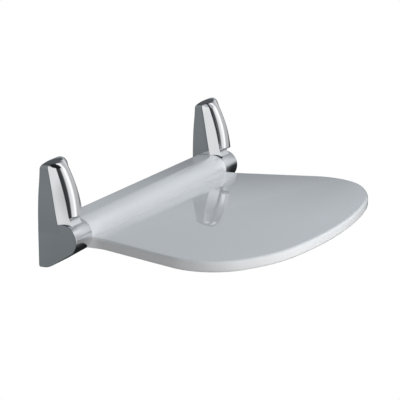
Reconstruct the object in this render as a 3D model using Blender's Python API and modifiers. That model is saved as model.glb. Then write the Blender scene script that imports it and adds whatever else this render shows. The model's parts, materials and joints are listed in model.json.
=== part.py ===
"""Wall-mounted folding shower seat: a white moulded seat board hinged between two chrome brackets.

Metres, +Z up. The wall is the plane Y = 0 and the seat reaches towards -Y. The origin lies on the wall,
midway between the brackets, at the height of the hinge axis. The seat is modelled folded down.
"""

import math

import bmesh
import bpy
from mathutils import Matrix, Vector

# ---- driving dimensions ------------------------------------------------------------------------------

BRACKET_PITCH = 0.420  # centre plane to centre plane
BRACKET_WIDTH = 0.038
AXIS_Y = -0.033  # hinge axis to wall
BARREL_R = 0.020

EDGE_ROUNDING = 0.0005  # on the outer edges of the barrel and the slope under it
FACE_LOW_Z = 0.020  # lowest level of the fluted front, just on top of the barrel
FACE_HIGH_Z = 0.090
SHOULDER_Z = 0.0845  # where the bracket starts to round over
BRACKET_TOP = 0.0985
TOP_Y = -0.0215  # the highest point, seen from the side
BRACKET_BOTTOM = -0.036
FOOT_Y = -0.013  # front end of the short flat foot under the bracket
FOOT_RADIUS = 0.0055
TAPER_Z = (0.020, 0.095)  # the side faces draw in between these levels
TAPER = 0.0045
BACK_LEAN = 0.0012  # how far the back leaves the wall at the shoulder
BACK_LEAN_Z = 0.050  # where it starts to leave it
DOME_WIDTH_POWER = 0.8  # how squarely the width and the back close in over the top
DOME_BACK_POWER = 1.6
CAP_POWER = 0.75
RIDGE = 0.001  # half the depth of the topmost section, and the least depth anywhere
EDGE_Y = (-0.0270, -0.0120)  # front edge of the side face, at the lower and upper end of the flute
CREASE_Y = (-0.0405, -0.0195)  # bottom of the flute, where the rib rises
CREASE_BULGE = 0.0025
CREASE_SHARE = 0.20  # least depth of the flute and least forward reach of the side face near the top
EDGE_SHARE = 0.35
NECK_R = 0.010  # the flute's foot runs out on the barrel in a hollow curve of this radius
NECK_TOP_Z = 0.0240
NECK_REACH = 0.75  # how much of the curve's radius shows above the barrel
RIB_Y = (-0.0496, -0.0300)  # foremost line of the rib
RIB_LEAN_MAX = 1.15
RIB_SHARE = 0.62  # of the bracket's width
RIB_TOP_SHARE = 0.97
RIB_LOW_Z = 0.0268
RIB_END_R = 0.0025
FLUTE_DEPTH = 0.0002
CAP_Z = 0.0955  # the front turns back over the top above this level
FLUTE_END_Z = (0.0855, 0.0935)  # the flute narrows to nothing between these levels
SECTION_LOW_Z = 0.008  # the fluted front starts here, inside the barrel
HAIR = 0.0001
BARREL_BACK = 72  # where the barrel's arc starts, in degrees from the wall side
LOWER_TOP_Z = 0.015  # upper end of the barrel's block at the wall
SQUARE_AT_WALL = 0.004  # edges nearer to the wall than this stay square
SHARP_CORNER = 1.0  # in radians
WALL = 0.0032  # thickness of the die-cast bracket under its foot
CAVITY_HALF_WIDTH = 0.0132
CAVITY_TOP = (-0.0120, 0.070)
CAVITY_FOOT_Y = -0.009
CAVITY_SLOPE = (-0.014, -0.024)
CAVITY_DEEP_Y = -0.0210  # in front of this the casting is solid
CAVITY_DEEP_Z = (-0.010, 0.022)
CLAMP_Y = -0.0078
GAP = 0.0003  # between pieces that touch
CUT = 0.002  # how far a cutter runs past the face it opens

AXLE_R = 0.006
AXLE_DEPTH = 0.029  # depth of the axle's bore in a bracket
AXLE_END_GAP = 0.001
RUNNING = 0.00007  # radial running clearance
BUSH_R = 0.009
BUSH_LENGTH = 0.018
WASHER_R = 0.0135
WAVE_R = 0.0125
THRUST_THICKNESS = 0.0016
WAVE_THICKNESS = 0.0008

SEAT_TOP = -0.002  # relative to the hinge axis
SEAT_THICKNESS = 0.014
SEAT_FRONT = -0.302
SEAT_ROUNDING = 0.0035
FRONT_ARCS = ((0.640, 10.5), (0.200, 25.0), (0.074, 70.5))  # radius and turn, from the middle outwards
BAR_END_GAP = 0.0004
BAR_R = 0.020
HEEL_BACK_Y = -0.003
HEEL_TOP_Z = 0.0192
HEEL_TOP_SETBACK = 0.005
HEEL_SIDE_Z = 0.004  # the heel's back leans forward above this level
BAR_ARC = (84, 270)  # the round part of the bar, in degrees from its back
HEEL_CORNER_R = 0.004
HEEL_SIDE_R = 0.010

BUFFER_R = 0.008
BUFFER_X = 0.120
BUFFER_Z = -0.010

PLATE_HALF_WIDTH = 0.0125
PLATE_THICKNESS = 0.0030
PLATE_LOW_Z = -0.026
PLATE_HIGH_Z = 0.066
PLATE_HOLE_R = 0.0032
PLATE_HOLES_Z = (-0.012, 0.052)
PLATE_LUG = 0.011  # how far the lower lug stands off the wall

SCREW_R = 0.0025
SOCKET_R = 0.0013
SOCKET_DEPTH = 0.002
AXLE_SCREW_LOW_Z = -0.0165
AXLE_SCREW_HOLE_Z = (-0.033, -0.003)
CLAMP_SCREW_LOW_Z = BRACKET_BOTTOM + 0.001
CLAMP_HOLE_TOP_Z = -0.030
INNER_FACE = BRACKET_PITCH / 2 - BRACKET_WIDTH / 2
BAR_HALF = INNER_FACE - BAR_END_GAP
SIDES = (("left", -1), ("right", 1))
X_OUT_OF_YZ = Matrix(((0, 0, 1), (1, 0, 0), (0, 1, 0))).to_4x4()  # lays an XY outline into the YZ plane

# ---- scene and materials -----------------------------------------------------------------------------

for leftover in list(bpy.data.objects):
    bpy.data.objects.remove(leftover, do_unlink=True)

PARTS = bpy.data.collections.new("folding_shower_seat")
CUTTERS = bpy.data.collections.new("cutters")
for collection in (PARTS, CUTTERS):
    bpy.context.scene.collection.children.link(collection)


def material(name, colour, roughness, metallic=0.0):
    made = bpy.data.materials.new(name)
    made.use_nodes = True
    shader = made.node_tree.nodes["Principled BSDF"]
    shader.inputs["Base Color"].default_value = (*colour, 1)
    shader.inputs["Roughness"].default_value = roughness
    shader.inputs["Metallic"].default_value = metallic
    return made


WHITE = material("white_moulding", (0.86, 0.88, 0.90), 0.12)
CHROME = material("chrome", (0.80, 0.81, 0.83), 0.06, 1.0)
ZINC_STEEL = material("zinc_plated_steel", (0.62, 0.63, 0.64), 0.38, 1.0)
STAINLESS = material("stainless_steel", (0.68, 0.68, 0.68), 0.28, 1.0)
NYLON = material("nylon", (0.82, 0.81, 0.76), 0.5)
RUBBER = material("rubber", (0.30, 0.31, 0.32), 0.75)

# ---- building blocks ---------------------------------------------------------------------------------


def add_object(name, mesh, surface=None, collection=PARTS):
    made = bpy.data.objects.new(name, mesh)
    collection.objects.link(made)
    if surface:
        mesh.materials.clear()
        mesh.materials.append(surface)
    if collection is CUTTERS:
        made.hide_render = True
        made.display_type = "WIRE"
    return made


def smooth(thing, angle=30):
    thing.data.shade_smooth()
    thing.data.set_sharp_from_angle(angle=math.radians(angle))


def mesh_of(make):
    """A mesh filled by make(bm)."""
    bm = bmesh.new()
    make(bm)
    bmesh.ops.recalc_face_normals(bm, faces=bm.faces)
    mesh = bpy.data.meshes.new("mesh")
    bm.to_mesh(mesh)
    bm.free()
    return mesh


def outline_mesh(points, thickness, place=Matrix()):
    """A closed 2D outline extruded to a slab, centred on its own plane."""
    curve = bpy.data.curves.new("outline", "CURVE")
    curve.dimensions = "2D"
    curve.fill_mode = "BOTH"
    curve.extrude = thickness / 2
    spline = curve.splines.new("POLY")
    spline.points.add(len(points) - 1)
    for point, (u, v) in zip(spline.points, points):
        point.co = (u, v, 0, 1)
    spline.use_cyclic_u = True
    guide = add_object("outline", curve)
    depsgraph = bpy.context.evaluated_depsgraph_get()
    mesh = bpy.data.meshes.new_from_object(guide.evaluated_get(depsgraph))
    bpy.data.objects.remove(guide)
    bm = bmesh.new()
    bm.from_mesh(mesh)
    bmesh.ops.remove_doubles(bm, verts=bm.verts, dist=1e-6)
    bmesh.ops.transform(bm, matrix=place, verts=bm.verts)
    bmesh.ops.recalc_face_normals(bm, faces=bm.faces)
    bm.to_mesh(mesh)
    bm.free()
    return mesh


def cylinder_mesh(radius, length, axis, centre=(0, 0, 0), segments=48):
    """A closed cylinder along a world axis, made about its centre."""
    turn = Vector((0, 0, 1)).rotation_difference(Vector(axis)).to_matrix().to_4x4()
    return mesh_of(
        lambda bm: bmesh.ops.create_cone(
            bm,
            cap_ends=True,
            segments=segments,
            radius1=radius,
            radius2=radius,
            depth=length,
            matrix=Matrix.Translation(centre) @ turn,
        )
    )


def upright_mesh(radius, z_low, z_high, y=0.0):
    return cylinder_mesh(radius, z_high - z_low, (0, 0, 1), (0, y, mix(z_low, z_high, 0.5)), 24)


def ring_mesh(inner, outer, x_low, x_high, segments=48):
    """A turned ring about the X axis: a closed profile carried round by a Screw modifier."""
    profile = ((inner, x_high), (outer, x_high), (outer, x_low), (inner, x_low))
    mesh = bpy.data.meshes.new("ring")
    verts = [(r, 0, x) for r, x in profile]
    mesh.from_pydata(verts, [(i, (i + 1) % len(verts)) for i in range(len(verts))], [])
    guide = add_object("ring", mesh)
    screw = guide.modifiers.new("turn", "SCREW")
    screw.steps = segments
    screw.render_steps = segments
    screw.use_merge_vertices = True
    screw.merge_threshold = 1e-6
    screw.use_smooth_shade = False
    depsgraph = bpy.context.evaluated_depsgraph_get()
    turned = bpy.data.meshes.new_from_object(guide.evaluated_get(depsgraph))
    bpy.data.objects.remove(guide)
    bm = bmesh.new()
    bm.from_mesh(turned)
    bmesh.ops.remove_doubles(bm, verts=bm.verts, dist=1e-7)
    bmesh.ops.transform(bm, matrix=Matrix.Rotation(math.pi / 2, 4, "Y"), verts=bm.verts)
    bmesh.ops.recalc_face_normals(bm, faces=bm.faces)
    bm.to_mesh(turned)
    bm.free()
    return turned


def boolean(target, operation, mesh, name):
    cutter = add_object(name, mesh, collection=CUTTERS)
    cutter.parent = target.parent
    cutter.matrix_world = target.matrix_world
    modifier = target.modifiers.new(name, "BOOLEAN")
    modifier.operation = operation
    modifier.solver = "EXACT"
    modifier.object = cutter
    return cutter


def arc(centre, radius, start, end, steps):
    """Points of an arc in its plane; angles in degrees."""
    return [
        (
            centre[0] + radius * math.cos(math.radians(start + (end - start) * i / steps)),
            centre[1] + radius * math.sin(math.radians(start + (end - start) * i / steps)),
        )
        for i in range(steps + 1)
    ]


def fillet(before, corner, after, radius, steps=4):
    """The corner of a polygon, rounded: points of the arc tangent to both its sides."""
    p, a, b = Vector(corner), Vector(before), Vector(after)
    u, v = (a - p).normalized(), (b - p).normalized()
    half = u.angle(v) / 2
    reach = radius / math.tan(half)
    centre = p + (u + v).normalized() * radius / math.sin(half)
    first, last = p + u * reach - centre, p + v * reach - centre
    turn = first.angle_signed(last)
    return [tuple(centre + Matrix.Rotation(-turn * i / steps, 2) @ first) for i in range(steps + 1)]


def tangent_point(point, centre, radius, side):
    """Where a line from point touches a circle; side is +1 or -1."""
    to_centre = Vector(centre) - Vector(point)
    swing = side * math.asin(radius / to_centre.length)
    reach = math.sqrt(to_centre.length_squared - radius**2)
    direction = Matrix.Rotation(swing, 2) @ to_centre.normalized()
    return Vector(point) + direction * reach


def mix(a, b, t):
    return a + (b - a) * t


def clamp(t):
    return min(max(t, 0.0), 1.0)


def ease(t):
    t = clamp(t)
    return t * t * (3 - 2 * t)


def quarter(t):
    """Height left of a quarter circle at t of its radius."""
    return math.sqrt(1 - clamp(t) ** 2)


# ---- brackets ----------------------------------------------------------------------------------------


def dome_at(z):
    """1 up to the shoulder, then falling to 0 at the bracket's top."""
    return quarter((z - SHOULDER_Z) / (BRACKET_TOP - SHOULDER_Z))


def half_width_at(z):
    taper = ease((z - TAPER_Z[0]) / (TAPER_Z[1] - TAPER_Z[0]))
    return (BRACKET_WIDTH / 2 - TAPER * taper) * dome_at(z) ** DOME_WIDTH_POWER


def back_at(z):
    lean = -BACK_LEAN * ease((z - BACK_LEAN_Z) / (SHOULDER_Z - BACK_LEAN_Z))
    return mix(TOP_Y + RIDGE, lean, dome_at(z) ** DOME_BACK_POWER)


def climb_at(z):
    return (z - FACE_LOW_Z) / (FACE_HIGH_Z - FACE_LOW_Z)


def cap_at(z):
    """1 below the cap on top of the front, then falling to 0 at the bracket's top."""
    return (1 - clamp((z - CAP_Z) / (BRACKET_TOP - CAP_Z))) ** CAP_POWER


def edge_at(z):
    return mix(*EDGE_Y, min(climb_at(z), 1.0))


def neck_flare_at(z):
    """How far the flute's foot sweeps forward over the barrel."""
    return NECK_R * (1 - quarter(min((NECK_TOP_Z - z) / NECK_R, NECK_REACH)))


def crease_at(z):
    climb = clamp(climb_at(z))
    return mix(*CREASE_Y, climb) - CREASE_BULGE * math.sin(math.pi * climb) - neck_flare_at(z)


def rib_front_at(z):
    lean = max(0.0, climb_at(z)) ** 2
    return mix(TOP_Y - RIDGE, mix(*RIB_Y, min(lean, RIB_LEAN_MAX)), cap_at(z))


def front_section(z, steps):
    """Half of the fluted front at height z, from the side edge to the middle of the rib."""
    half, back = half_width_at(z), back_at(z)
    front = min(rib_front_at(z), back - RIDGE)
    edge = min(edge_at(z), mix(back, front, EDGE_SHARE))
    crease = min(crease_at(z), mix(edge, front, CREASE_SHARE))
    ending = ease((z - FLUTE_END_Z[0]) / (FLUTE_END_Z[1] - FLUTE_END_Z[0]))
    rib_half = mix(RIB_SHARE, RIB_TOP_SHARE, ending) * half
    grown = quarter((RIB_LOW_Z + RIB_END_R - z) / RIB_END_R) if z >= RIB_LOW_Z else 0.0
    rise = (front - crease) * grown
    points = []
    for i in range(steps + 1):
        t = i / steps
        hollow = FLUTE_DEPTH * math.sin(math.pi * t) * dome_at(z)
        points.append((mix(half, rib_half, t), mix(edge, crease, t) + hollow))
    for i in range(1, steps + 1):
        angle = math.radians(90 * i / steps)
        points.append((rib_half * math.cos(angle), crease + rise * math.sin(angle)))
    return points


def bracket_section(z, steps=5):
    """The whole outline of the upper bracket at height z, anticlockwise seen from above."""
    half = front_section(z, steps)
    width, edge = half[0]
    back = max(back_at(z), edge + HAIR)
    return [(width, back), *half, *((-x, y) for x, y in reversed(half[:-1])), (-width, back)]


def upper_bracket_mesh():
    """A loft through the outlines at rising heights, about the bracket's own centre plane."""
    rib_grown = RIB_LOW_Z + RIB_END_R
    neck_low = NECK_TOP_Z - NECK_REACH * NECK_R
    levels = [SECTION_LOW_Z, *(mix(neck_low, NECK_TOP_Z, i / 5) for i in range(6)), RIB_LOW_Z - HAIR]
    levels += [RIB_LOW_Z + RIB_END_R * t for t in (0.01, 0.1, 0.3, 0.6, 1.0)]
    levels += [mix(rib_grown, SHOULDER_Z, i / 9) for i in range(1, 10)]
    levels += [mix(SHOULDER_Z, CAP_Z, i / 5) for i in range(1, 6)]
    cap = BRACKET_TOP - CAP_Z
    levels += [CAP_Z + cap * math.sin(math.radians(80 * i / 5)) for i in range(1, 6)]

    def make(bm):
        rings = [[bm.verts.new((x, y, z)) for x, y in bracket_section(z)] for z in levels]
        for low, high in zip(rings, rings[1:]):
            for i in range(len(low)):
                j = (i + 1) % len(low)
                bm.faces.new((low[i], low[j], high[j], high[i]))
        bm.faces.new(reversed(rings[0]))
        bm.faces.new(rings[-1])
        bmesh.ops.triangulate(bm, faces=bm.faces)

    return mesh_of(make)


def lower_outline():
    """Barrel, lower slope and foot in the YZ plane."""
    axis = (AXIS_Y, 0.0)
    foot = (FOOT_Y, BRACKET_BOTTOM)
    touch = tangent_point(foot, axis, BARREL_R, 1)
    touch_angle = math.degrees(math.atan2(touch.y, touch.x - AXIS_Y)) % 360
    points = [(0.0, LOWER_TOP_Z)]
    points += arc(axis, BARREL_R, BARREL_BACK, touch_angle, 20)
    points += fillet(touch, foot, (0.0, BRACKET_BOTTOM), 2 * FOOT_RADIUS)
    points += fillet(foot, (0.0, BRACKET_BOTTOM), (0.0, LOWER_TOP_Z), FOOT_RADIUS / 2)
    return points


def cavity_outline():
    """The hollow behind the face, open to the wall, in the YZ plane."""
    low = BRACKET_BOTTOM + WALL
    return [
        (CUT, low),
        (CAVITY_FOOT_Y, low),
        CAVITY_SLOPE,
        (CAVITY_DEEP_Y, CAVITY_DEEP_Z[0]),
        (CAVITY_DEEP_Y, CAVITY_DEEP_Z[1]),
        CAVITY_TOP,
        (CUT, CAVITY_TOP[1]),
    ]


def round_outer_edges(lower):
    """Rounds the barrel's and the slope's edges on both sides, but leaves those on the wall square."""
    bm = bmesh.new()
    bm.from_mesh(lower.data)
    weight = bm.edges.layers.float.new("bevel_weight_edge")
    for edge in bm.edges:
        across = abs(edge.verts[0].co.x - edge.verts[1].co.x)
        if across < 1e-6 and max(v.co.y for v in edge.verts) < -SQUARE_AT_WALL and len(edge.link_faces) == 2:
            edge[weight] = 1.0 if edge.calc_face_angle(0.0) > SHARP_CORNER else 0.0
    bm.to_mesh(lower.data)
    bm.free()
    rounding = lower.modifiers.new("outer_edges", "BEVEL")
    rounding.width = EDGE_ROUNDING
    rounding.segments = 2
    rounding.limit_method = "WEIGHT"


def bracket(side, sign):
    x = sign * BRACKET_PITCH / 2
    body = add_object(f"{side}_bracket", upper_bracket_mesh(), CHROME)
    body.location = (x, 0, 0)
    bpy.context.view_layer.update()
    lower = outline_mesh(lower_outline(), BRACKET_WIDTH, X_OUT_OF_YZ)
    round_outer_edges(boolean(body, "UNION", lower, f"{side}_barrel"))
    cavity = outline_mesh(cavity_outline(), 2 * CAVITY_HALF_WIDTH, X_OUT_OF_YZ)
    boolean(body, "DIFFERENCE", cavity, f"{side}_cavity")
    bore_end = BRACKET_WIDTH / 2 - AXLE_DEPTH - GAP
    bore_mouth = BRACKET_WIDTH / 2 + CUT
    bore_centre = (-sign * mix(bore_end, bore_mouth, 0.5), AXIS_Y, 0)
    bore = cylinder_mesh(AXLE_R + GAP, bore_mouth - bore_end, (1, 0, 0), bore_centre)
    boolean(body, "DIFFERENCE", bore, f"{side}_axle_bore")
    axle_screw_hole = upright_mesh(SCREW_R + GAP, *AXLE_SCREW_HOLE_Z, AXIS_Y)
    boolean(body, "DIFFERENCE", axle_screw_hole, f"{side}_axle_screw_hole")
    clamp_hole = upright_mesh(SCREW_R + GAP, BRACKET_BOTTOM - CUT, CLAMP_HOLE_TOP_Z, CLAMP_Y)
    boolean(body, "DIFFERENCE", clamp_hole, f"{side}_clamp_hole")
    smooth(body)
    return body


def wall_plate(side, sign):
    """A folded steel plate: flat on the wall, with a lug turned forward at its lower end."""
    x = sign * BRACKET_PITCH / 2
    lug_top = PLATE_LOW_Z + PLATE_THICKNESS
    profile = [
        (0.0, PLATE_LOW_Z),
        (0.0, PLATE_HIGH_Z),
        (-PLATE_THICKNESS, PLATE_HIGH_Z),
        (-PLATE_THICKNESS, lug_top),
        (-PLATE_LUG, lug_top),
        (-PLATE_LUG, PLATE_LOW_Z),
    ]
    mesh = outline_mesh(profile, 2 * PLATE_HALF_WIDTH, X_OUT_OF_YZ)
    plate = add_object(f"{side}_wall_plate", mesh, ZINC_STEEL)
    plate.location = (x, 0, 0)
    bpy.context.view_layer.update()
    for number, z in enumerate(PLATE_HOLES_Z):
        hole = cylinder_mesh(PLATE_HOLE_R, 2 * (PLATE_THICKNESS + CUT), (0, 1, 0), (0, 0, z), 32)
        boolean(plate, "DIFFERENCE", hole, f"{side}_plate_hole_{number}")
    return plate


def grub_screw(name, x, y, z_low, z_high):
    """An upright grub screw with a hexagon socket in its lower end."""
    screw = add_object(name, upright_mesh(SCREW_R, z_low, z_high), STAINLESS)
    screw.location = (x, y, 0)
    bpy.context.view_layer.update()
    socket = cylinder_mesh(SOCKET_R, 2 * SOCKET_DEPTH, (0, 0, 1), (0, 0, z_low), 6)
    boolean(screw, "DIFFERENCE", socket, f"{name}_socket")


def axle_grub_screw(side, sign):
    x = sign * BRACKET_PITCH / 2
    grub_screw(f"{side}_axle_grub_screw", x, AXIS_Y, AXLE_SCREW_LOW_Z, -AXLE_R - GAP)


def clamp_screw(side, sign):
    x = sign * BRACKET_PITCH / 2
    grub_screw(f"{side}_clamp_screw", x, CLAMP_Y, CLAMP_SCREW_LOW_Z, PLATE_LOW_Z - GAP)


# ---- hinge -------------------------------------------------------------------------------------------


def hinge_axle():
    reach = INNER_FACE + AXLE_DEPTH - AXLE_END_GAP
    axle = add_object("hinge_axle", cylinder_mesh(AXLE_R, 2 * reach, (1, 0, 0)), STAINLESS)
    axle.location = (0, AXIS_Y, 0)
    smooth(axle)


def hinge_rings(side, sign, pivot):
    """Bush, thrust washer and wave washer in the end of the seat's bar, from the inside outwards."""
    wave_out = INNER_FACE - GAP
    thrust_out = wave_out - WAVE_THICKNESS - GAP
    bush_out = thrust_out - THRUST_THICKNESS - 2 * GAP
    rings = (
        ("hinge_bush", BUSH_R, bush_out - BUSH_LENGTH, bush_out, NYLON),
        ("thrust_washer", WASHER_R, thrust_out - THRUST_THICKNESS, thrust_out, NYLON),
        ("wave_washer", WAVE_R, wave_out - WAVE_THICKNESS, wave_out, STAINLESS),
    )
    for name, radius, low, high, surface in rings:
        mesh = ring_mesh(AXLE_R + RUNNING, radius, *sorted((sign * low, sign * high)))
        piece = add_object(f"{side}_{name}", mesh, surface)
        piece.parent = pivot
        smooth(piece)


# ---- seat --------------------------------------------------------------------------------------------


def seat_half_outline():
    """Right half of the board's outline, from the front middle round to its rear corner at the bar."""
    x, y, heading = 0.0, SEAT_FRONT, 0.0
    points = [(x, y)]
    for radius, turn in FRONT_ARCS:
        steps = max(3, round(turn / 5))
        for _ in range(steps):
            step = math.radians(turn / steps)
            chord = 2 * radius * math.sin(step / 2)
            x += chord * math.cos(heading + step / 2)
            y += chord * math.sin(heading + step / 2)
            heading += step
            points.append((x, y))
    run = (x - BAR_HALF) / -math.cos(heading)
    points.append((BAR_HALF, y + run * math.sin(heading)))
    points.append((BAR_HALF, AXIS_Y))
    return points


def seat_outline():
    half = seat_half_outline()
    return half + [(-x, y) for x, y in reversed(half[1:])]


def bar_outline():
    """Section of the hinge bar with the flat-topped heel behind it, in the YZ plane about the hinge axis."""
    back = HEEL_BACK_Y - AXIS_Y
    top_back = (back - HEEL_TOP_SETBACK, HEEL_TOP_Z)
    bar = arc((0.0, 0.0), BAR_R, *BAR_ARC, 32)
    points = fillet((0.0, -BAR_R), (back, -BAR_R), (back, 0.0), HEEL_CORNER_R)
    points += fillet((back, -BAR_R), (back, HEEL_SIDE_Z), top_back, HEEL_SIDE_R, 3)
    points += fillet((back, HEEL_SIDE_Z), top_back, bar[0], HEEL_CORNER_R)
    return points + bar


def seat(pivot):
    bottom = SEAT_TOP - SEAT_THICKNESS
    place = Matrix.Translation((0, -AXIS_Y, mix(bottom, SEAT_TOP, 0.5)))
    board = add_object("seat_board", outline_mesh(seat_outline(), SEAT_THICKNESS, place), WHITE)
    board.parent = pivot
    bpy.context.view_layer.update()
    edges = board.modifiers.new("rounded_edges", "BEVEL")
    edges.width = SEAT_ROUNDING
    edges.segments = 3
    edges.limit_method = "ANGLE"
    edges.angle_limit = math.radians(60)
    boolean(board, "UNION", outline_mesh(bar_outline(), 2 * BAR_HALF, X_OUT_OF_YZ), "hinge_bar")
    bore = cylinder_mesh(AXLE_R + 2 * GAP, 2 * (BAR_HALF + CUT), (1, 0, 0))
    boolean(board, "DIFFERENCE", bore, "bar_bore")
    washer_depth = WAVE_THICKNESS + THRUST_THICKNESS + 3 * GAP
    for side, sign in SIDES:
        recess_in = INNER_FACE - washer_depth
        middle = sign * mix(recess_in, INNER_FACE + CUT, 0.5)
        recess = cylinder_mesh(WASHER_R + GAP, INNER_FACE + CUT - recess_in, (1, 0, 0), (middle, 0, 0))
        boolean(board, "DIFFERENCE", recess, f"{side}_washer_recess")
        bush_in = recess_in - BUSH_LENGTH - 2 * GAP
        middle = sign * mix(bush_in, INNER_FACE, 0.5)
        seat_bore = cylinder_mesh(BUSH_R + GAP, INNER_FACE - bush_in, (1, 0, 0), (middle, 0, 0))
        boolean(board, "DIFFERENCE", seat_bore, f"{side}_bush_seat")
    smooth(board)


def wall_buffer(side, sign, pivot):
    """Rubber button on the heel's back; it meets the wall when the seat is down."""
    centre_y = mix(HEEL_BACK_Y + GAP, 0.0, 0.5) - AXIS_Y
    mesh = cylinder_mesh(BUFFER_R, -HEEL_BACK_Y - GAP, (0, 1, 0), (sign * BUFFER_X, centre_y, BUFFER_Z), 32)
    buffer = add_object(f"{side}_wall_buffer", mesh, RUBBER)
    buffer.parent = pivot
    smooth(buffer)


# ---- assembly ----------------------------------------------------------------------------------------

hinge_pivot = bpy.data.objects.new("hinge_pivot", None)
hinge_pivot.location = (0, AXIS_Y, 0)
PARTS.objects.link(hinge_pivot)
bpy.context.view_layer.update()

for side_name, side_sign in SIDES:
    bracket(side_name, side_sign)
    wall_plate(side_name, side_sign)
    axle_grub_screw(side_name, side_sign)
    clamp_screw(side_name, side_sign)
    hinge_rings(side_name, side_sign, hinge_pivot)
    wall_buffer(side_name, side_sign, hinge_pivot)
hinge_axle()
seat(hinge_pivot)
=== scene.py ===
"""The looks of a wall-mounted folding shower seat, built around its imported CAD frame."""

import json
import math

import bmesh
import bpy
from mathutils import Matrix, Vector


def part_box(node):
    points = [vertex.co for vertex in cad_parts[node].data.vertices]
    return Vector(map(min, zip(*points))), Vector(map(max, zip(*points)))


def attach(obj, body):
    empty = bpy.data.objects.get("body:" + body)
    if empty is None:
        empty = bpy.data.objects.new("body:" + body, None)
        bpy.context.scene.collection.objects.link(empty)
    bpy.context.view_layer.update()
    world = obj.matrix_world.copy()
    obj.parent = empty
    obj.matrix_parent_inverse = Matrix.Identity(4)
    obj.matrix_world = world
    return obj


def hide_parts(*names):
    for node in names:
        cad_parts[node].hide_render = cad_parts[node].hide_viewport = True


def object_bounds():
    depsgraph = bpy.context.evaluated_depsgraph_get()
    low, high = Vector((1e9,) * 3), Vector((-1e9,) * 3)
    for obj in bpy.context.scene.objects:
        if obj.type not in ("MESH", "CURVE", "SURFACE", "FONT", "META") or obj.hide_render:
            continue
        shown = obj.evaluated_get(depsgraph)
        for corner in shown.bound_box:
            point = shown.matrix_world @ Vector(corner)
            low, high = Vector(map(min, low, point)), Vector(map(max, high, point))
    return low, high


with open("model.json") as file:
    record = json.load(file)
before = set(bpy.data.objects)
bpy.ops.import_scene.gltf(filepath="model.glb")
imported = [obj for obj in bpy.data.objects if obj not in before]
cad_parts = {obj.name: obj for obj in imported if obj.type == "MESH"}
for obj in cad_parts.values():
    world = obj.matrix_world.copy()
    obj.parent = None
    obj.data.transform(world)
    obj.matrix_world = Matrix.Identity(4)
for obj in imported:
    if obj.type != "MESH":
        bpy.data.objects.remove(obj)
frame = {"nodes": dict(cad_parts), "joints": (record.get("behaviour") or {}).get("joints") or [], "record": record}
cad_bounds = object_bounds()

# ---- sizes -------------------------------------------------------------------------------------------

AXIS_Y = frame["joints"][0]["pos_m"][1]  # the hinge axis runs along X at this Y, at Z = 0
LEFT_LOW, LEFT_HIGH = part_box("left_bracket")
SEAT_LOW, SEAT_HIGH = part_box("seat_board")
BRACKET_X = abs(LEFT_LOW.x + LEFT_HIGH.x) / 2
BRACKET_HALF = (LEFT_HIGH.x - LEFT_LOW.x) / 2
BRACKET_BOTTOM = LEFT_LOW.z
BRACKET_TOP = LEFT_HIGH.z
BARREL_R = AXIS_Y - LEFT_LOW.y

FACE_LOW_Z = 0.020  # the fluted front of a bracket, just on top of the barrel
FACE_HIGH_Z = 0.090
SECTION_LOW_Z = 0.008  # the front's shell starts here, inside the barrel
SHOULDER_Z = 0.0845  # where the bracket starts to round over
TOP_Y = -0.0215  # the highest point, seen from the side
FOOT_Y = -0.013  # front end of the short flat foot under the bracket
FOOT_RADIUS = 0.0055
FOOT_REACH = 1.4  # of FOOT_RADIUS
TAPER_Z = (0.020, 0.095)  # the side faces draw in between these levels
TAPER = 0.0045
BACK_LEAN = 0.0012  # how far the back leaves the wall at the shoulder
BACK_LEAN_Z = 0.050  # where it starts to leave it
DOME_WIDTH_POWER = 0.8  # how squarely the width and the back close in over the top
DOME_BACK_POWER = 1.6
CAP_POWER = 0.75
RIDGE = 0.001  # half the depth of the topmost section, and the least depth anywhere
EDGE_Y = (-0.0270, -0.0120)  # front edge of the side face, at the lower and upper end of the flute
CREASE_Y = (-0.0405, -0.0195)  # bottom of the flute, where the rib rises
CREASE_BULGE = 0.0025
CREASE_SHARE = 0.20  # least depth of the flute and least forward reach of the side face near the top
EDGE_SHARE = 0.35
NECK_R = 0.010  # the flute's foot runs out on the barrel in a hollow curve of this radius
NECK_TOP_Z = 0.0240
NECK_REACH = 0.75  # how much of the curve's radius shows above the barrel
CAP_Z = 0.0955  # the front turns back over the top above this level
CAP_EDGE_R = 0.0006
CAP_LEFT = 0.0002  # how far the cap's curve would still run on above the bracket's top
CAP_LEVELS_LOW = 0.0008  # the cap's close levels start this far below it
CAP_TURN = 86  # degrees round the top where the last level lies
FLUTE_END_Z = (0.0855, 0.0935)  # the flute narrows to nothing between these levels
RIB_Y = (-0.0496, -0.0300)  # foremost line of the rib
RIB_LEAN_MAX = 1.15
RIB_SHARE = 0.62  # of the bracket's width
RIB_TOP_SHARE = 0.97
RIB_LOW_Z = 0.0268
RIB_END_R = 0.0025
LEVEL_GAP = 0.0001  # between the neck's last level and the rib's end above it
FLUTE_DEPTH = 0.0002
BACK_CORNER_R = (0.0100, 0.0004)  # at the top, and up to the shoulder
SIDE_EDGE_R = 0.0004
GROOVE_R = 0.0005
BARREL_BACK = 72  # where the barrel's arc starts, in degrees from the wall side
BARREL_EDGE_R = 0.0005
LOWER_TOP_Z = 0.015  # upper end of the barrel's block at the wall
SQUARE_AT_WALL = (0.002, 0.004)  # edges this near to the wall stay square; the width of the change
CAVITY_HALF_WIDTH = 0.0132
CAVITY_LOW_Z = BRACKET_BOTTOM + 0.0032
CAVITY_OUTLINE = (  # in the YZ plane; it runs past the wall, where the hollow is open
    (0.002, CAVITY_LOW_Z),
    (-0.009, CAVITY_LOW_Z),
    (-0.014, -0.024),
    (-0.021, -0.010),
    (-0.021, 0.022),
    (-0.012, 0.070),
    (0.002, 0.070),
)
HAIR = 0.00003  # keeps two shells of one piece from lying in the same plane

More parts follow.
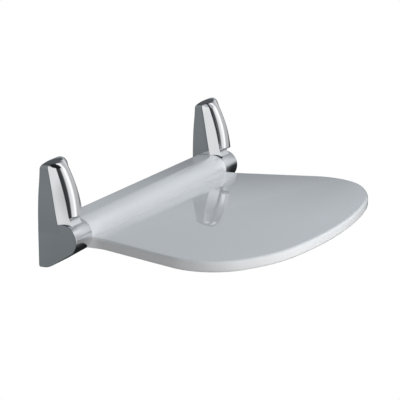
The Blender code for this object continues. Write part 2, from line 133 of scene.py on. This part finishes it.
SEAT_TOP = -0.002  # relative to the hinge axis
SEAT_THICKNESS = 0.014
SEAT_EDGE_R = 0.0035
SEAT_EDGE_FADE = (0.002, 0.016)  # from the bar to where the edge starts to round; the length of the change
FRONT_ARCS = ((0.640, 10.5), (0.200, 25.0), (0.074, 70.5))  # radius and degrees of turn, from the middle
FRONT_STEP = 2  # degrees of turn between two points of the front
BAR_END_GAP = 0.0004
BAR_HALF = BRACKET_X - BRACKET_HALF - BAR_END_GAP
BAR_R = 0.020
BAR_ARC = (84, 270)  # the round part of the bar, in degrees from its back
BAR_END_R = 0.0005
HEEL_TOP_Z = 0.0192
HEEL_TOP_SETBACK = 0.005
HEEL_SIDE_Z = 0.004  # the heel's back leans forward above this level
HEEL_CORNER_R = 0.004
HEEL_SIDE_R = 0.006

SIDES = (("left", -1), ("right", 1))

# ---- mesh building -----------------------------------------------------------------------------------


def mix(a, b, t):
    return a + (b - a) * t


def clamp(t):
    return min(max(t, 0.0), 1.0)


def ease(t):
    t = clamp(t)
    return t * t * (3 - 2 * t)


def quarter(t):
    """Height left of a quarter circle at t of its radius."""
    return math.sqrt(1 - clamp(t) ** 2)


def arc(centre, radius, start, end, steps):
    """Points of an arc in its plane; angles in degrees."""
    angles = [math.radians(mix(start, end, i / steps)) for i in range(steps + 1)]
    return [Vector((centre[0] + radius * math.cos(a), centre[1] + radius * math.sin(a))) for a in angles]


def soften(before, corner, after, reach, steps, share=0.45):
    """A corner replaced by a curve that leaves its sides at the given reach, or at a share of short sides."""
    corner = Vector(corner)
    to_before, to_after = Vector(before) - corner, Vector(after) - corner
    start = corner + to_before.normalized() * min(reach, share * to_before.length)
    end = corner + to_after.normalized() * min(reach, share * to_after.length)
    points = []
    for i in range(steps + 1):
        t = i / steps
        points.append(start * (1 - t) ** 2 + corner * 2 * t * (1 - t) + end * t * t)
    return points


def loft(bm, rings):
    """A closed shell through rings of equal length."""
    loops = [[bm.verts.new(p) for p in ring] for ring in rings]
    for low, high in zip(loops, loops[1:]):
        for i in range(len(low)):
            j = (i + 1) % len(low)
            bm.faces.new((low[i], low[j], high[j], high[i]))
    bm.faces.new(reversed(loops[0]))
    bm.faces.new(loops[-1])


def piece(name, shells, surface, sharp_angle=35):
    """One smooth-shaded object; each shell is a function that fills a bmesh."""
    bm = bmesh.new()
    for shell in shells:
        shell(bm)
    bmesh.ops.recalc_face_normals(bm, faces=bm.faces)
    mesh = bpy.data.meshes.new(name)
    bm.to_mesh(mesh)
    bm.free()
    mesh.materials.append(surface)
    mesh.shade_smooth()
    mesh.set_sharp_from_angle(angle=math.radians(sharp_angle))
    made = bpy.data.objects.new(name, mesh)
    bpy.context.scene.collection.objects.link(made)
    return made


def inward_normals(outline):
    """Offsets towards the inside of a closed 2D outline, one at each point, longer at its corners."""
    area = sum(a.x * b.y - b.x * a.y for a, b in zip(outline, outline[1:] + outline[:1]))
    side = 1 if area > 0 else -1
    normals = []
    for i, point in enumerate(outline):
        before, after = outline[i - 1], outline[(i + 1) % len(outline)]
        a, b = (point - before).normalized(), (after - point).normalized()
        bisector = Vector((-(a.y + b.y), a.x + b.x)).normalized() * side
        narrowing = bisector.dot(Vector((-b.y, b.x)) * side)
        normals.append(bisector / max(0.5, narrowing))  # at most twice as long, however sharp the corner
    return normals


def slab(outline, half_width, rounding, place, keep=lambda point: 1.0, steps=6):
    """A shell maker: a 2D outline extruded both ways, with rounded edges where keep() is 1."""
    normals = inward_normals(outline)

    def ring(inset, across):
        return [place(p + n * inset * keep(p), across) for p, n in zip(outline, normals)]

    def station(angle):
        return rounding * (1 - math.sin(angle)), half_width - rounding * (1 - math.cos(angle))

    def fill(bm):
        stations = [station(math.radians(90 * i / steps)) for i in range(steps + 1)]
        rings = [ring(inset, -across) for inset, across in stations]
        rings += [ring(inset, across) for inset, across in reversed(stations)]
        loft(bm, rings)

    return fill


# ---- bracket -----------------------------------------------------------------------------------------


def dome_at(z):
    """1 up to the shoulder, then falling to 0 at the bracket's top."""
    return quarter((z - SHOULDER_Z) / (BRACKET_TOP - SHOULDER_Z))


def climb_at(z):
    """0 at the lower end of the fluted front and 1 at its upper end."""
    return (z - FACE_LOW_Z) / (FACE_HIGH_Z - FACE_LOW_Z)


def half_width_at(z):
    taper = ease((z - TAPER_Z[0]) / (TAPER_Z[1] - TAPER_Z[0]))
    return (BRACKET_HALF - TAPER * taper) * dome_at(z) ** DOME_WIDTH_POWER


def back_at(z):
    lean = -BACK_LEAN * ease((z - BACK_LEAN_Z) / (SHOULDER_Z - BACK_LEAN_Z))
    return mix(TOP_Y + RIDGE, lean, dome_at(z) ** DOME_BACK_POWER)


def cap_at(z):
    """1 below the cap on top of the face, then falling to 0 at the bracket's top."""
    lift = z - CAP_Z
    lift = 0.5 * (lift + math.sqrt(lift**2 + CAP_EDGE_R**2))
    return (1 - clamp(lift / (BRACKET_TOP - CAP_Z + CAP_LEFT))) ** CAP_POWER


def edge_at(z):
    return mix(*EDGE_Y, min(climb_at(z), 1.0))


def neck_flare_at(z):
    """How far the flute's foot sweeps forward over the barrel."""
    return NECK_R * (1 - quarter(min((NECK_TOP_Z - z) / NECK_R, NECK_REACH)))


def crease_at(z):
    climb = clamp(climb_at(z))
    return mix(*CREASE_Y, climb) - CREASE_BULGE * math.sin(math.pi * climb) - neck_flare_at(z)


def rib_front_at(z):
    lean = max(0.0, climb_at(z)) ** 2
    return mix(TOP_Y - RIDGE, mix(*RIB_Y, min(lean, RIB_LEAN_MAX)), cap_at(z))


def bracket_section(z):
    """The upper bracket's whole outline at height z, about its own centre plane."""
    half, back = half_width_at(z), back_at(z)
    front = min(rib_front_at(z), back - RIDGE)
    edge = min(edge_at(z), mix(back, front, EDGE_SHARE))
    crease = min(crease_at(z), mix(edge, front, CREASE_SHARE))
    ending = ease((z - FLUTE_END_Z[0]) / (FLUTE_END_Z[1] - FLUTE_END_Z[0]))
    rib_half = mix(RIB_SHARE, RIB_TOP_SHARE, ending) * half
    grown = quarter((RIB_LOW_Z + RIB_END_R - z) / RIB_END_R) if z >= RIB_LOW_Z else 0.0
    rise = (front - crease) * grown
    dome = dome_at(z)

    def flute(t):
        hollow = FLUTE_DEPTH * math.sin(math.pi * t) * dome
        return Vector((mix(half, rib_half, t), mix(edge, crease, t) + hollow))

    def rib(t):
        a = math.radians(90 * t)
        return Vector((rib_half * math.cos(a), crease + rise * math.sin(a)))

    # from the middle of the back round the side, along the flute, through its groove and up the rib
    points = soften((0, back), (half, back), (half, edge), mix(*BACK_CORNER_R, dome**2), 6)
    points += soften((half, mix(back, edge, 0.5)), (half, edge), flute(0.5), SIDE_EDGE_R, 6)
    points += [flute(t / 10) for t in range(2, 10)]
    points += soften(flute(0.9), flute(1.0), rib(0.12), GROOVE_R, 5)
    points += [rib(t / 28) for t in range(4, 28)]
    right = [Vector((0, back)), *points]
    left = [Vector((-p.x, p.y)) for p in reversed(points)]
    return [*right, rib(1.0), *left]


def bracket_levels():
    """The heights of the sections: close where the neck, the rib's end and the cap curve."""
    grown = RIB_LOW_Z + RIB_END_R
    neck_low = NECK_TOP_Z - NECK_REACH * NECK_R
    levels = [SECTION_LOW_Z, *(mix(neck_low, NECK_TOP_Z, i / 12) for i in range(13)), RIB_LOW_Z - LEVEL_GAP]
    levels += [RIB_LOW_Z + RIB_END_R * (1 - math.cos(math.radians(90 * i / 10))) for i in range(1, 10)]
    levels += [mix(grown, SHOULDER_Z, i / 30) for i in range(31)]
    levels += [mix(SHOULDER_Z, CAP_Z - CAP_LEVELS_LOW, i / 16) for i in range(1, 17)]
    cap = BRACKET_TOP - CAP_Z + CAP_LEVELS_LOW
    levels += [BRACKET_TOP - cap * (1 - math.sin(math.radians(CAP_TURN * i / 20))) for i in range(1, 21)]
    return levels


def tangent_point(point, centre, radius):
    """Where a line from point touches a circle on its left."""
    to_centre = Vector(centre) - Vector(point)
    swing = math.asin(radius / to_centre.length)
    reach = math.sqrt(to_centre.length_squared - radius**2)
    return Vector(point) + Matrix.Rotation(swing, 2) @ to_centre.normalized() * reach


def lower_outline():
    """Barrel, lower slope and foot in the YZ plane."""
    foot = Vector((FOOT_Y, BRACKET_BOTTOM))
    back_foot, back_top = Vector((0.0, BRACKET_BOTTOM)), Vector((0.0, LOWER_TOP_Z))
    touch = tangent_point(foot, (AXIS_Y, 0.0), BARREL_R)
    touch_angle = math.degrees(math.atan2(touch.y, touch.x - AXIS_Y)) % 360
    points = [back_top]
    points += arc((AXIS_Y, 0.0), BARREL_R, BARREL_BACK, touch_angle, 48)
    points += soften(touch, foot, back_foot, FOOT_REACH * FOOT_RADIUS, 8)
    points += soften(foot, back_foot, back_top, FOOT_RADIUS / 2, 5)
    return points


def far_from_wall(point):
    """How much of the lower outline's edge rounding is left: none at the wall."""
    square, change = SQUARE_AT_WALL
    return ease((-square - point.x) / change)


def hollowed(made, cavity):
    """Applies a Boolean cut to a finished piece."""
    cut = made.modifiers.new("cavity", "BOOLEAN")
    cut.operation = "DIFFERENCE"
    cut.solver = "EXACT"
    cut.object = cavity
    depsgraph = bpy.context.evaluated_depsgraph_get()
    mesh = bpy.data.meshes.new_from_object(made.evaluated_get(depsgraph))
    made.modifiers.clear()
    made.data = mesh
    return made


def joined(name, parts):
    """One object with the meshes of all parts, which are removed."""
    bm = bmesh.new()
    for part in parts:
        bm.from_mesh(part.data)
    mesh = parts[0].data.copy()
    bm.to_mesh(mesh)
    bm.free()
    for part in parts:
        bpy.data.objects.remove(part)
    made = bpy.data.objects.new(name, mesh)
    bpy.context.scene.collection.objects.link(made)
    return made


def bracket(side, sign, surface):
    """A bracket's smooth cover: its fluted face and its barrel, both hollow behind."""
    x = sign * BRACKET_X

    def upright(point, across):
        return x + across, point.x, point.y

    def upper(bm):
        loft(bm, [[(x + p.x, p.y, z) for p in bracket_section(z)] for z in bracket_levels()])

    lower = slab(lower_outline(), BRACKET_HALF - HAIR, BARREL_EDGE_R, upright, far_from_wall)
    hollow = slab([Vector(p) for p in CAVITY_OUTLINE], CAVITY_HALF_WIDTH, 0.0, upright, steps=1)
    cavity = piece(f"{side}_cavity", [hollow], surface)
    parts = [
        hollowed(piece(f"{side}_face", [upper], surface), cavity),
        hollowed(piece(f"{side}_barrel", [lower], surface), cavity),
    ]
    bpy.data.objects.remove(cavity)
    cover = joined(f"{side}_bracket_cover", parts)
    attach(cover, "brackets")
    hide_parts(f"{side}_bracket")


# ---- seat --------------------------------------------------------------------------------------------


def seat_outline():
    """The board's outline, from the front middle round its right side and back."""
    x, y, heading = 0.0, SEAT_LOW.y, 0.0
    half = [Vector((x, y))]
    for radius, turn in FRONT_ARCS:
        steps = round(turn / FRONT_STEP)
        step = math.radians(turn / steps)
        for _ in range(steps):
            chord = 2 * radius * math.sin(step / 2)
            x += chord * math.cos(heading + step / 2)
            y += chord * math.sin(heading + step / 2)
            heading += step
            half.append(Vector((x, y)))
    run = (x - BAR_HALF) / -math.cos(heading)
    corner = Vector((BAR_HALF, y + run * math.sin(heading)))
    half += [mix(half[-1], corner, i / 12) for i in range(1, 13)]
    half += [Vector((BAR_HALF, mix(corner.y, AXIS_Y, i / 4))) for i in range(1, 5)]
    return half + [Vector((-p.x, p.y)) for p in reversed(half[1:])]


def board_edge_at(point):
    """How much of the board's edge rounding is left: none beside the bar."""
    gap, change = SEAT_EDGE_FADE
    return ease((AXIS_Y - BAR_R - gap - point.y) / change)


def bar_outline():
    """Section of the hinge bar and the flat-topped heel behind it, in the YZ plane."""
    back = SEAT_HIGH.y
    top_back = Vector((back - HEEL_TOP_SETBACK, HEEL_TOP_Z))
    low_back, side_back = Vector((back, -BAR_R)), Vector((back, HEEL_SIDE_Z))
    bar = arc((AXIS_Y, 0.0), BAR_R, *BAR_ARC, 62)
    points = soften(bar[-1], low_back, side_back, HEEL_CORNER_R, 6)
    points += soften(low_back, side_back, top_back, HEEL_SIDE_R, 6)
    points += soften(side_back, top_back, bar[0], HEEL_CORNER_R, 8)
    return points + bar


def seat(surface):
    """The seat moulding: the board and, sunk into its back, the hinge bar with its heel."""
    middle = SEAT_TOP - SEAT_THICKNESS / 2

    def flat(point, across):
        return point.x, point.y, middle + across

    def upright(point, across):
        return across, point.x, point.y

    board = slab(seat_outline(), SEAT_THICKNESS / 2, SEAT_EDGE_R, flat, board_edge_at, 8)
    bar = slab(bar_outline(), BAR_HALF, BAR_END_R, upright)
    made = piece("seat_moulding", [board, bar], surface)
    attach(made, "seat")
    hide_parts("seat_board")


# ---- materials ---------------------------------------------------------------------------------------


class Shader:
    """A Principled material and short ways to add nodes to it. Socket names are given with _ for a space."""

    def __init__(self, name, colour, roughness, metallic=0.0, **sockets):
        self.material = bpy.data.materials.new(name)
        self.material.use_nodes = True
        self.nodes = self.material.node_tree.nodes
        self.links = self.material.node_tree.links
        self.principled = self.nodes["Principled BSDF"]
        self.put("Base Color", (*colour, 1))
        self.put("Roughness", roughness)
        self.put("Metallic", metallic)
        for socket, value in sockets.items():
            self.put(socket.replace("_", " "), value)

    def put(self, socket, value):
        self.principled.inputs[socket].default_value = value

    def node(self, kind, inputs=None, **settings):
        made = self.nodes.new(kind)
        for key, value in settings.items():
            setattr(made, key, value)
        for key, value in (inputs or {}).items():
            if isinstance(value, bpy.types.NodeSocket):
                self.links.new(value, made.inputs[key])
            else:
                made.inputs[key].default_value = value
        return made

    def place(self, scale=(1, 1, 1)):
        position = self.node("ShaderNodeTexCoord").outputs["Object"]
        return self.node("ShaderNodeMapping", {"Vector": position, "Scale": scale}).outputs["Vector"]

    def noise(self, scale, detail=3.0, roughness=0.5, stretch=(1, 1, 1)):
        inputs = {"Vector": self.place(stretch), "Scale": scale, "Detail": detail, "Roughness": roughness}
        return self.node("ShaderNodeTexNoise", inputs).outputs["Fac"]

    def spread(self, value, low, high, start=0.3, end=0.7):
        inputs = {"Value": value, "From Min": start, "From Max": end, "To Min": low, "To Max": high}
        return self.node("ShaderNodeMapRange", inputs).outputs["Result"]

    def tint(self, factor, one, two):
        made = self.node("ShaderNodeMix", {"Factor": factor}, data_type="RGBA")
        colours = [socket for socket in made.inputs if socket.type == "RGBA"]
        colours[0].default_value, colours[1].default_value = (*one, 1), (*two, 1)
        return next(socket for socket in made.outputs if socket.type == "RGBA")

    def feed(self, socket, value):
        self.links.new(value, self.principled.inputs[socket])

    def bump(self, height, strength, distance):
        inputs = {"Height": height, "Strength": strength, "Distance": distance}
        self.feed("Normal", self.node("ShaderNodeBump", inputs).outputs["Normal"])


def white_moulding():
    """Glossy moulded plastic: a faint orange peel, and a polish that is a little uneven."""
    made = Shader("white_moulding_gloss", (0.82, 0.825, 0.83), 0.02, Coat_Weight=0.3, Coat_Roughness=0.01)
    made.feed("Base Color", made.tint(made.noise(7.0, 2.0), (0.805, 0.817, 0.832), (0.825, 0.836, 0.850)))
    made.feed("Roughness", made.spread(made.noise(28.0, 4.0), 0.008, 0.022))
    made.bump(made.noise(60.0, 1.0), 0.003, 0.0006)
    return made.material


def chrome():
    """Polished plating, with very slight waves left by buffing."""
    made = Shader("chrome_plating", (0.80, 0.81, 0.83), 0.05, 1.0)
    made.feed("Roughness", made.spread(made.noise(60.0, 5.0), 0.035, 0.085))
    made.feed("Base Color", made.tint(made.noise(25.0, 2.0), (0.78, 0.79, 0.81), (0.83, 0.84, 0.855)))
    made.bump(made.noise(55.0, 1.0), 0.03, 0.0006)
    return made.material


def zinc_steel():
    """Zinc plating with its small bright and dull patches."""
    made = Shader("zinc_plated_steel", (0.6, 0.61, 0.62), 0.4, 1.0)
    flakes = made.node("ShaderNodeTexVoronoi", {"Vector": made.place(), "Scale": 260.0}).outputs["Color"]
    patches = made.spread(flakes, 0, 1, 0, 1)
    made.feed("Base Color", made.tint(patches, (0.50, 0.51, 0.53), (0.68, 0.69, 0.69)))
    made.feed("Roughness", made.spread(made.noise(90.0, 5.0), 0.3, 0.5))
    made.bump(made.noise(900.0, 3.0), 0.08, 0.0002)
    return made.material


def stainless():
    """Turned stainless steel, with fine rings round the X axis."""
    made = Shader("turned_stainless_steel", (0.66, 0.66, 0.66), 0.3, 1.0)
    rings = made.noise(1400.0, 2.0, 0.6, (1, 0.02, 0.02))
    made.feed("Roughness", made.spread(rings, 0.22, 0.42))
    made.feed("Base Color", made.tint(rings, (0.58, 0.58, 0.58), (0.72, 0.715, 0.71)))
    made.bump(rings, 0.1, 0.0001)
    return made.material


def nylon():
    """Natural nylon: off-white, waxy and slightly see-through."""
    made = Shader("natural_nylon", (0.82, 0.80, 0.74), 0.48, Subsurface_Weight=0.15, Subsurface_Scale=0.001)
    made.feed("Base Color", made.tint(made.noise(120.0, 3.0), (0.80, 0.78, 0.71), (0.84, 0.82, 0.77)))
    made.feed("Roughness", made.spread(made.noise(300.0, 4.0), 0.42, 0.58))
    made.bump(made.noise(1200.0, 2.0), 0.08, 0.0002)
    return made.material


def rubber():
    """Matt grey rubber with a fine moulded grain."""
    made = Shader("grey_rubber", (0.10, 0.105, 0.11), 0.8, Specular_IOR_Level=0.3)
    made.feed("Base Color", made.tint(made.noise(200.0, 4.0), (0.075, 0.08, 0.085), (0.14, 0.145, 0.15)))
    made.feed("Roughness", made.spread(made.noise(500.0, 4.0), 0.68, 0.9))
    made.bump(made.noise(1500.0, 3.0), 0.25, 0.0002)
    return made.material


def finish_nodes(surfaces):
    """Gives each carried-over CAD node its material."""
    slots = {entry["node"]: entry["material_slot"] for entry in frame["record"]["subparts"]}
    for name, node in frame["nodes"].items():
        surface = surfaces[slots[name]]
        if not node.material_slots:
            node.data.materials.append(surface)
        for slot in node.material_slots:
            slot.material = surface


# ---- stage, light and camera -------------------------------------------------------------------------

FLOOR_Z = -0.46  # a seat hangs at about knee height
BACKDROP_R = 9.0
FLOOR_R = BACKDROP_R * 0.9


def pale(name):
    """Plain white that glows at strength 1, so it stays white in any light."""
    made = bpy.data.materials.new(name)
    made.use_nodes = True
    nodes = made.node_tree.nodes
    nodes.remove(nodes["Principled BSDF"])
    glow = nodes.new("ShaderNodeEmission")
    glow.inputs["Strength"].default_value = 1.0
    made.node_tree.links.new(glow.outputs["Emission"], nodes["Material Output"].inputs["Surface"])
    return made


def backdrop():
    """A white floor and a white dome round it. Only the camera sees them, so they throw no light."""
    bm = bmesh.new()
    bmesh.ops.create_uvsphere(bm, u_segments=32, v_segments=16, radius=BACKDROP_R)
    dome_mesh = bpy.data.meshes.new("backdrop")
    bm.to_mesh(dome_mesh)
    bm.clear()
    bmesh.ops.create_circle(bm, cap_ends=True, segments=64, radius=FLOOR_R)
    floor_mesh = bpy.data.meshes.new("floor")
    bm.to_mesh(floor_mesh)
    bm.free()
    for name, mesh, height in (("backdrop", dome_mesh, 0.0), ("floor", floor_mesh, FLOOR_Z)):
        mesh.materials.append(pale(f"pale_{name}"))
        made = bpy.data.objects.new(name, mesh)
        made.location.z = height
        made.visible_diffuse = False
        made.visible_glossy = False
        made.visible_transmission = False
        made.visible_shadow = False
        bpy.context.scene.collection.objects.link(made)


ROOM_COLOUR = (0.92, 1.00, 1.06)
ROOM_HEIGHT = (-0.6, 0.7)  # the room brightens from below to above between these heights of a unit direction
ROOM_STRENGTH = (0.015, 0.11)
BOX_FRONT = (0.0, 0.2)  # cosines between which a box fades in, so none shows in the room's far half

# direction from the seat, half width, half height and softness in degrees, colour, strength
SOFTBOXES = (
    ((-0.84, -0.54, 0.12), 16, 27, 20, (1.00, 1.00, 1.00), 0.80),  # left front
    ((-0.42, -0.90, 0.14), 16, 30, 24, (1.00, 1.00, 1.00), 0.70),  # strip
    ((0.10, -0.98, 0.20), 46, 30, 26, (1.00, 1.00, 1.00), 0.50),  # front
    ((0.86, -0.42, 0.28), 12, 17, 18, (0.98, 1.00, 1.02), 0.62),  # right
    ((-0.82, 0.56, -0.10), 13, 28, 8, (0.92, 1.00, 1.04), 0.175),  # left back
    ((0.80, 0.38, 0.42), 35, 15, 14, (0.94, 1.00, 1.06), 0.32),  # right back
    ((0.55, 0.67, -0.48), 14, 15, 10, (0.92, 1.00, 1.04), 0.24),  # right back, low
    ((0.10, 0.98, -0.15), 18, 14, 14, (1.00, 1.00, 1.00), 0.80),  # behind the wall line
)

# name, direction from the seat, distance, size, colour, the brightness it gives a white surface facing it
LAMPS = (
    ("key", (0.30, -0.56, 0.77), 2.2, 1.3, (0.95, 1.00, 1.06), 0.44),
    ("low_fill", (0.55, -0.80, -0.50), 2.2, 1.3, (1.01, 1.00, 0.98), 0.61),
    ("left_fill", (-0.85, -0.45, -0.25), 2.2, 1.0, (1.03, 1.00, 0.97), 0.21),
    ("top_fill", (0.00, 0.60, 0.80), 2.2, 1.3, (0.95, 1.00, 1.06), 0.06),
    ("back_fill", (0.10, 0.95, -0.28), 2.2, 1.3, (1.00, 1.00, 1.00), 0.45),
)


def lamps():
    """Large soft lamps for the matt side of the lighting: they leave no mirror image of themselves."""
    centre = (cad_bounds[0] + cad_bounds[1]) / 2
    for name, towards, distance, size, colour, brightness in LAMPS:
        away = Vector(towards).normalized()
        data = bpy.data.lights.new(name, "AREA")
        data.size = size
        data.color = colour
        data.energy = brightness * (math.pi * distance) ** 2
        made = bpy.data.objects.new(name, data)
        made.location = centre + away * distance
        made.rotation_euler = away.to_track_quat("Z", "Y").to_euler()
        made.visible_camera = False
        made.visible_glossy = False
        bpy.context.scene.collection.objects.link(made)


def studio():
    """A dim room with soft rectangular lights around the seat."""
    world = bpy.data.worlds.new("studio")
    bpy.context.scene.world = world
    world.use_nodes = True
    tree = world.node_tree
    nodes, links = tree.nodes, tree.links
    direction = nodes.new("ShaderNodeTexCoord").outputs["Generated"]

    def fill(sockets, values):
        for socket, value in zip(sockets, values):
            if isinstance(value, bpy.types.NodeSocket):
                links.new(value, socket)
            else:
                socket.default_value = value

    def vector_math(operation, first, second):
        made = nodes.new("ShaderNodeVectorMath")
        made.operation = operation
        fill(made.inputs, (first, second))
        return made.outputs

    def along(towards):
        return vector_math("DOT_PRODUCT", direction, Vector(towards).normalized())["Value"]

    def math_node(operation, *values):
        made = nodes.new("ShaderNodeMath")
        made.operation = operation
        fill(made.inputs, values)
        return made.outputs["Value"]

    def ramp(value, start, end, low, high):
        made = nodes.new("ShaderNodeMapRange")
        made.interpolation_type = "SMOOTHSTEP"
        sockets = [made.inputs[name] for name in ("Value", "From Min", "From Max", "To Min", "To Max")]
        fill(sockets, (value, start, end, low, high))
        return made.outputs["Result"]

    def scaled(factor, colour):
        made = nodes.new("ShaderNodeVectorMath")
        made.operation = "SCALE"
        fill((made.inputs["Vector"], made.inputs["Scale"]), (colour, factor))
        return made.outputs["Vector"]

    def within(tangent, half_angle, softness):
        """1 near the plane across tangent, fading to 0 over softness round half_angle from that plane."""
        off = math_node("ABSOLUTE", along(tangent))
        inner = math.sin(math.radians(half_angle - softness / 2))
        outer = math.sin(math.radians(half_angle + softness / 2))
        return ramp(off, inner, outer, 1.0, 0.0)

    total = scaled(ramp(along((0.0, 0.0, 1.0)), *ROOM_HEIGHT, *ROOM_STRENGTH), ROOM_COLOUR)
    for towards, half_width, half_height, softness, colour, strength in SOFTBOXES:
        towards = Vector(towards).normalized()
        across = towards.cross(Vector((0, 0, 1))).normalized()
        upwards = across.cross(towards)
        sideways = within(across, half_width, softness)
        inside = math_node("MULTIPLY", sideways, within(upwards, half_height, softness))
        front = ramp(along(towards), *BOX_FRONT, 0.0, strength)
        total = vector_math("ADD", total, scaled(math_node("MULTIPLY", inside, front), colour))["Vector"]
    links.new(total, nodes["Background"].inputs["Color"])


CAMERA_AT = (-1.8125, -0.9910, 0.5243)
CAMERA_AZIMUTH, CAMERA_ELEVATION = -63.95, 14.40  # degrees round from the front, and up
CAMERA_LENS, CAMERA_SENSOR = 144, 36  # in mm


def camera():
    """The camera that stands where the photo's stood."""
    azimuth, elevation = math.radians(CAMERA_AZIMUTH), math.radians(CAMERA_ELEVATION)
    back = Vector(
        (
            math.sin(azimuth) * math.cos(elevation),
            -math.cos(azimuth) * math.cos(elevation),
            math.sin(elevation),
        )
    )
    data = bpy.data.cameras.new("camera")
    data.lens = CAMERA_LENS
    data.sensor_width = CAMERA_SENSOR
    made = bpy.data.objects.new("camera", data)
    made.location = CAMERA_AT
    made.rotation_euler = back.to_track_quat("Z", "Y").to_euler()
    bpy.context.scene.collection.objects.link(made)
    bpy.context.scene.camera = made


# ---- the scene ---------------------------------------------------------------------------------------

surfaces = {
    "white_moulding": white_moulding(),
    "chrome": chrome(),
    "zinc_steel": zinc_steel(),
    "stainless": stainless(),
    "nylon": nylon(),
    "rubber": rubber(),
}
finish_nodes(surfaces)
for side_name, side_sign in SIDES:
    bracket(side_name, side_sign, surfaces["chrome"])
seat(surfaces["white_moulding"])

backdrop()
studio()
lamps()
camera()
bpy.context.scene.view_settings.view_transform = "Standard"
